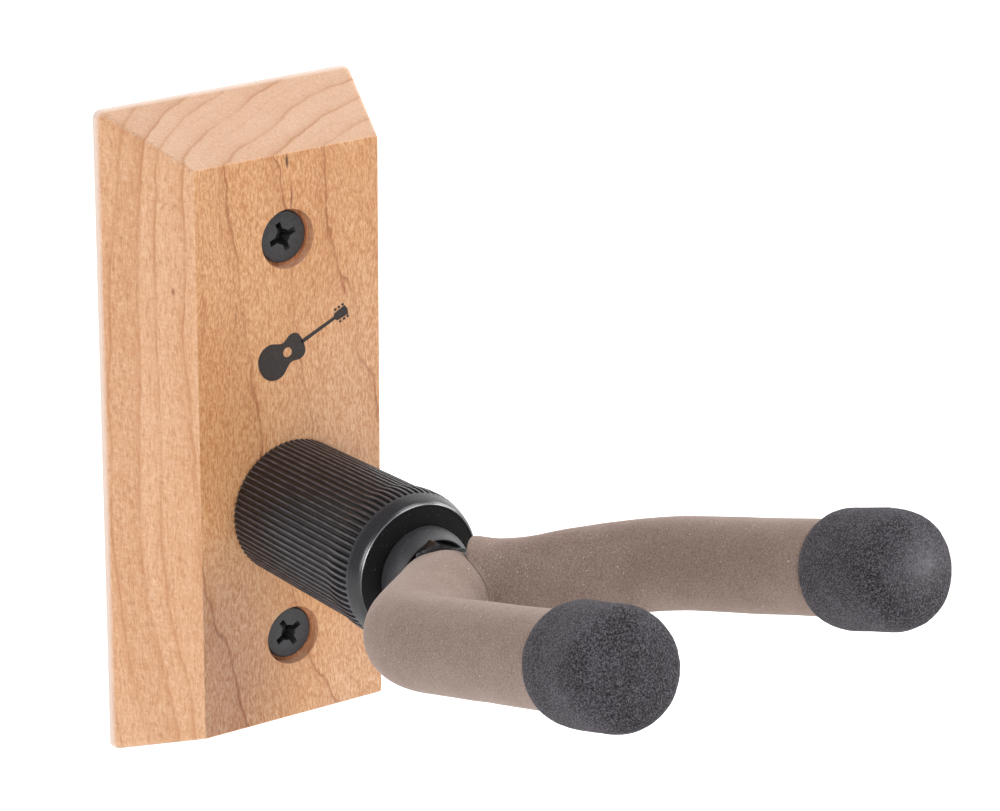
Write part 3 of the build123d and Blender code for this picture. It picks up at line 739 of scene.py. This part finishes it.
def sleeve_profile(length):
    """(distance along, radius) rows: out of the bore, over a rounded edge, along, and back in."""
    edge, face_r = SLEEVE_EDGE_R, (SLEEVE_BORE_R + SLEEVE_R) / 2
    rows = [(BORE_TURN, SLEEVE_BORE_R), (0.0, SLEEVE_BORE_R + 0.1), (0.0, face_r)]
    for index in range(EDGE_ROWS + 1):
        angle = math.pi / 2 * index / EDGE_ROWS
        rows.append((edge - edge * math.cos(angle), SLEEVE_R - edge + edge * math.sin(angle)))
    count = int((length - 2 * edge) / SLEEVE_ROW_STEP)
    for index in range(1, count):
        rows.append((edge + (length - 2 * edge) * index / count, SLEEVE_R))
    for index in range(EDGE_ROWS + 1):
        angle = math.pi / 2 * (1 - index / EDGE_ROWS)
        rows.append((length - edge + edge * math.cos(angle), SLEEVE_R - edge + edge * math.sin(angle)))
    rows += [(length, face_r), (length, SLEEVE_BORE_R + 0.1), (length - BORE_TURN, SLEEVE_BORE_R)]
    return rows


def flare(distance):
    """Swelling of the right sleeve's start, and the slight waist after it."""
    return 1.15 * bell(distance, 0.0, 3.5) - 0.33 * bell(distance, 10.5, 4.5)


def belly(distance, sideways):
    """Fullness of the left sleeve's inner side, where the right one leans on it."""
    return 1.75 * np.maximum(0.0, -sideways) * bell(distance, 4.0, 8.0)


def make_sleeve(side, material):
    end = CAP_CENTRE[side] - CAP_LENGTH / 2 - CAP_GAP
    points, tangents = centreline(side, SLEEVE_START[side], end, CENTRELINE_STEP)
    step = np.linalg.norm(np.diff(points, axis=0), axis=1)
    along = np.concatenate([[0], np.cumsum(step)])
    bend_middle = LEG_LENGTH - BEND_TANGENT - SLEEVE_START[side] + BEND_LENGTH / 2
    rows = sleeve_profile(along[-1])
    vertices = []
    for distance, radius in rows:
        centre = np.array([np.interp(distance, along, points[:, i]) for i in (0, 1)])
        tangent = np.array([np.interp(distance, along, tangents[:, i]) for i in (0, 1)])
        tangent /= np.linalg.norm(tangent)
        outer = np.array([SIDE[side] * tangent[1], -SIDE[side] * tangent[0]])
        skin_share = (radius - SLEEVE_BORE_R) / (SLEEVE_R - SLEEVE_BORE_R)
        for segment in range(SLEEVE_SEGMENTS):
            angle = 2 * math.pi * segment / SLEEVE_SEGMENTS
            sideways, rise = math.cos(angle), math.sin(angle)
            fullness = flare(distance) if side == "right" else belly(distance, sideways)
            r = radius + fullness * skin_share
            if radius > SLEEVE_BORE_R + 1:
                spot = (centre[0] + sideways * WAVE_R, centre[1], rise * WAVE_R)
                slow = SLOW_WAVE[0] * lump(spot, SLOW_WAVE[1], SLOW_SEED[side])
                r += slow + QUICK_WAVE[0] * lump(spot, QUICK_WAVE[1], QUICK_SEED)
                r -= FOLD_DEPTH * bell(distance, bend_middle, FOLD_REACH) * max(0.0, -sideways) ** 3
            vertices.append((*(centre + outer * r * sideways), r * rise))
    vertices = np.array(vertices)
    if side == "right":
        vertices = pressed_by_left_sleeve(vertices)
    vertices = pressed_by_collar(vertices)
    faces = grid_faces(len(rows), SLEEVE_SEGMENTS)
    sleeve = mesh_object("foam_sleeve_" + side + "_skin", to_row(vertices), faces, material)
    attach(sleeve, "yoke")
    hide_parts("foam_sleeve_" + side)


def pressed_by_left_sleeve(vertices, gap=0.12):
    """Where the right sleeve would run into the left one, its foam gives way to the left one's surface."""
    leg = leg_direction("left")
    across = np.array([-leg[1], leg[0]])
    out = vertices.copy()
    along = vertices[:, :2] @ leg
    offset = vertices[:, :2] @ across
    radial = np.maximum(np.hypot(offset, vertices[:, 2]), 1e-6)
    reach = SLEEVE_R + gap + belly(along - SLEEVE_START["left"], offset / radial)
    to_skin = reach - radial
    to_end = along - (SLEEVE_START["left"] - gap)
    inside = (to_skin > 0) & (to_end > 0)
    # out through the left one's side, unless its end is over three times nearer
    to_side = inside & (to_skin <= to_end * 3)
    to_back = inside & ~to_side
    scale = np.where(to_side, reach / radial, 1.0)
    pushed = np.outer(along, leg) + np.outer(offset * scale, across)
    out[:, :2] = np.where(to_side[:, None], pushed, out[:, :2])
    out[:, 2] = np.where(to_side, vertices[:, 2] * scale, out[:, 2])
    out[:, :2] = np.where(to_back[:, None], vertices[:, :2] - np.outer(to_end, leg), out[:, :2])
    return out


def pressed_by_collar(vertices, gap=0.1, most=3.0):
    """Foam that would sink into the domed collar is moved forwards onto it."""
    row = to_row(vertices) / MM
    radius = np.hypot(row[:, 0], row[:, 2] - AXIS_Z)
    dome = DOME_DEPTH + np.sqrt(np.clip(DOME_R**2 - (radius - DOME_FROM_AXIS) ** 2, 0, None))
    surface = gap + np.where(radius < COLLAR_LIP_R, COLLAR_FRONT, dome)
    sunk = np.where(radius < COLLAR_R + gap, surface + row[:, 1], 0)
    out = vertices.copy()
    out[:, 1] += np.clip(sunk, 0, most) / math.cos(YOKE_TILT)
    return out


# ---------------------------------------------------------------- foam caps
CAP_SEGMENTS = 168
CAP_ROWS = 120
NOSE_POWER = 4.6
BACK_POWER = 5.6
CAP_SEED = {"left": 11, "right": 17}
END_FACE_R = 0.02
# height and feature size of the sponge's lumps
CAP_LUMPS = [(0.16, 7), (0.06, 2.2), (0.045, 0.75)]


def cap_outline(t):
    """(distance from the cap's middle, radius) for t from 0, at the back's centre, to 1, at the nose."""
    angle = -math.pi / 2 + math.pi * t
    power = 2 / (NOSE_POWER if angle > 0 else BACK_POWER)
    ahead = math.copysign(abs(math.sin(angle)) ** power, angle)
    return CAP_LENGTH / 2 * ahead, CAP_R * abs(math.cos(angle)) ** power


def make_cap(side, material):
    arm = arm_direction(side)
    centre = leg_direction(side) * LEG_LENGTH + arm * CAP_CENTRE[side]
    across = np.array([arm[1], -arm[0]])
    seed = CAP_SEED[side]
    vertices = []
    for row in range(CAP_ROWS + 1):
        # rows crowd a little towards both ends
        even = row / CAP_ROWS
        crowded = 0.5 - 0.5 * math.cos(math.pi * even)
        ahead, radius = cap_outline(0.5 * crowded + 0.5 * even)
        radius = max(radius, END_FACE_R)
        for segment in range(CAP_SEGMENTS):
            angle = 2 * math.pi * segment / CAP_SEGMENTS
            x, z = radius * math.cos(angle), radius * math.sin(angle)
            spot = (x + seed, ahead, z)
            swell = sum(height * lump(spot, size, seed + i) for i, (height, size) in enumerate(CAP_LUMPS))
            way = Vector((x / CAP_R, ahead / (CAP_LENGTH / 2), z / CAP_R)).normalized() * swell
            vertices.append((
                centre[0] + arm[0] * (ahead + way[1]) + across[0] * (x + way[0]),
                centre[1] + arm[1] * (ahead + way[1]) + across[1] * (x + way[0]),
                z + way[2],
            ))
    faces = grid_faces(CAP_ROWS + 1, CAP_SEGMENTS)
    faces.append(tuple(range(CAP_SEGMENTS))[::-1])
    last = CAP_ROWS * CAP_SEGMENTS
    faces.append(tuple(last + i for i in range(CAP_SEGMENTS)))
    cap = mesh_object("foam_cap_" + side + "_sponge", to_row(vertices), faces, material)
    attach(cap, "yoke")
    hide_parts("foam_cap_" + side)


# ---------------------------------------------------------------- printed mark
MARK_CENTRE = (2.2, 18.6)
MARK_LIFT = 0.04
MARK_TILT = math.radians(24.0)
# the guitar lies along x, in mm: the upper half of its body, then its other parts
BODY_PROFILE = [(-9.6, 0.0), (-9.3, 1.6), (-8.4, 2.9), (-7.0, 3.6), (-5.4, 3.5), (-4.1, 2.7), (-3.2, 2.25),
                (-2.3, 2.35), (-1.3, 2.75), (-0.3, 2.7), (0.6, 2.0), (0.9, 0.6)]
HOLE_CENTRE = np.array((-2.9, 0.0))
HOLE_R = 0.95
NECK = [(0.6, -0.42), (8.6, -0.34), (8.6, 0.34), (0.6, 0.42)]
HEAD = [(8.6, -0.34), (9.1, -0.85), (11.6, -1.0), (11.9, 0.0), (11.6, 1.0), (9.1, 0.85), (8.6, 0.34)]
PEGS_X = (9.5, 10.4, 11.3)
PEG_HALF_WIDTH = 0.25
PEG_FROM, PEG_TO = 1.1, 1.6


def smooth_outline(points, steps=6):
    """Round off a chain of points with a Catmull-Rom curve."""
    points = np.array(points, float)
    padded = np.vstack([points[:1], points, points[-1:]])
    out = []
    for a, b, c, d in zip(padded[:-3], padded[1:-2], padded[2:-1], padded[3:]):
        for t in np.linspace(0, 1, steps, endpoint=False):
            square, cube = 2 * a - 5 * b + 4 * c - d, 3 * b - a - 3 * c + d
            out.append(0.5 * (2 * b + (c - a) * t + square * t**2 + cube * t**3))
    out.append(points[-1])
    return np.array(out)


def band(inner, outer):
    """Quads between two closed chains with as many points each."""
    count = len(inner)
    vertices = [tuple(v) for v in inner] + [tuple(v) for v in outer]
    faces = [(i, (i + 1) % count, count + (i + 1) % count, count + i) for i in range(count)]
    return vertices, faces


def guitar_shapes():
    """A small generic guitar: body with its sound hole, neck, headstock and pegs."""
    upper = smooth_outline(BODY_PROFILE)
    outline = np.vstack([upper, upper[-2:0:-1] * (1, -1)])
    reach = outline - HOLE_CENTRE
    angle = np.arctan2(reach[:, 1], reach[:, 0])
    hole = HOLE_CENTRE + HOLE_R * np.stack([np.cos(angle), np.sin(angle)], 1)
    shapes = [band(hole, outline), (NECK, [(0, 1, 2, 3)]), (HEAD, [tuple(range(len(HEAD)))])]
    for x in PEGS_X:
        for side in (-1, 1):
            before, after = x - PEG_HALF_WIDTH, x + PEG_HALF_WIDTH
            root, tip = side * PEG_FROM, side * PEG_TO
            peg = [(before, root), (after, root), (after, tip), (before, tip)]
            shapes.append((peg, [(0, 1, 2, 3)[::side]]))
    return shapes


def make_mark(material):
    """Plain printed pictogram between the upper screw and the housing. It carries no lettering."""
    cos, sin = math.cos(MARK_TILT), math.sin(MARK_TILT)
    vertices, faces = [], []
    for points, polygons in guitar_shapes():
        base = len(vertices)
        for x, z in points:
            across, rise = x * cos - z * sin, x * sin + z * cos
            vertices.append((MARK_CENTRE[0] + across, -BLOCK_T - MARK_LIFT, MARK_CENTRE[1] + rise))
        faces += [tuple(base + i for i in polygon) for polygon in polygons]
    mark = mesh_object("printed_mark", np.array(vertices) * MM, faces, material, smooth=False)
    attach(mark, "wall_mount")


# ---------------------------------------------------------------- stage and light, in metres
FLOOR_DROP = 0.22
STAGE_REACH = 6.0
STAGE_BACK = 2.2
STAGE_HEIGHT = 4.0
SWEEP_R = 0.8
SWEEP_ROWS = 16
WORLD_STRENGTH = 0.37
LIGHT_AIM = Vector((0.0, -0.05, 0.0))
# name, place, side of the square and power in watts
SOFT_BOXES = [
    ("key_left", (-1.1, -0.75, 0.35), 0.7, 9.8),
    ("top_right", (0.6, -0.7, 1.3), 0.9, 12.5),
    ("rim_right", (1.2, -0.15, 0.5), 0.6, 8.5),
]


def make_stage():
    low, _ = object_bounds()
    floor_z = low[2] - FLOOR_DROP
    rows = [(-STAGE_REACH, floor_z)]
    for index in range(SWEEP_ROWS + 1):
        angle = math.pi / 2 * index / SWEEP_ROWS
        rows.append((STAGE_BACK - SWEEP_R + SWEEP_R * math.sin(angle),
                     floor_z + SWEEP_R - SWEEP_R * math.cos(angle)))
    rows.append((STAGE_BACK, floor_z + STAGE_HEIGHT))
    camera = bpy.context.scene.camera.matrix_world
    away = -Vector((camera[0][2], camera[1][2], 0)).normalized()
    side = Vector((away.y, -away.x, 0))
    vertices = []
    for along, height in rows:
        for across in (-STAGE_REACH, STAGE_REACH):
            point = away * along + side * across
            vertices.append((point.x, point.y, height))
    faces = [(2 * row, 2 * row + 1, 2 * row + 3, 2 * row + 2) for row in range(len(rows) - 1)]
    stage = mesh_object("backdrop", vertices, faces, backdrop_white(away))


def soft_box(name, place, size, power):
    data = bpy.data.lights.new(name, "AREA")
    data.shape = "SQUARE"
    data.size = size
    data.energy = power
    lamp = bpy.data.objects.new(name, data)
    lamp.location = place
    lamp.rotation_euler = (LIGHT_AIM - Vector(place)).to_track_quat("-Z", "Y").to_euler()
    bpy.context.scene.collection.objects.link(lamp)


def make_light():
    world = bpy.data.worlds.new("studio")
    bpy.context.scene.world = world
    world.use_nodes = True
    background = world.node_tree.nodes["Background"]
    background.inputs["Color"].default_value = (1, 1, 1, 1)
    background.inputs["Strength"].default_value = WORLD_STRENGTH
    for box in SOFT_BOXES:
        soft_box(*box)
    view = bpy.context.scene.view_settings
    view.view_transform = "Standard"
    view.look = "None"
    view.exposure = 0.0
    view.gamma = 1.0


# ---------------------------------------------------------------- build
def paint(material, *names):
    for name in names:
        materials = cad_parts[name].data.materials
        materials.clear()
        materials.append(material)


make_camera()
make_stage()
make_light()

paint(cherry_wood(), "wood_block")
paint(black_phosphate(), "mounting_screws")
paint(black_anodised(), "swivel_housing")
paint(steel("zinc_steel", (176, 178, 176), 0.28), "housing_bolt", "bolt_lock_washer", "bolt_flat_washer",
      "stem_washer_front", "stem_washer_rear", "stem_locknut")
paint(black_plastic("black_acetal", (4, 4, 5), (24, 23, 25), 0.66, 0.10, 0.25),
      "bearing_plug", "thrust_washer")
paint(steel("bare_steel", (150, 150, 152), 0.25), "swivel_stem")
paint(steel("spring_steel", (92, 88, 86), 0.3), "stem_disc_spring")
paint(nylon(), "locknut_insert")
paint(black_plastic("black_collar", (38, 37, 39), (56, 54, 57), 0.5, 0.08, 0.5), "swivel_collar")
paint(gloss_enamel(), "yoke_knuckle", "yoke_rod")

sleeve_foam = tan_foam()
cap_foam = grey_foam()
for side in SIDE:
    make_sleeve(side, sleeve_foam)
    make_cap(side, cap_foam)
make_mark(ink())
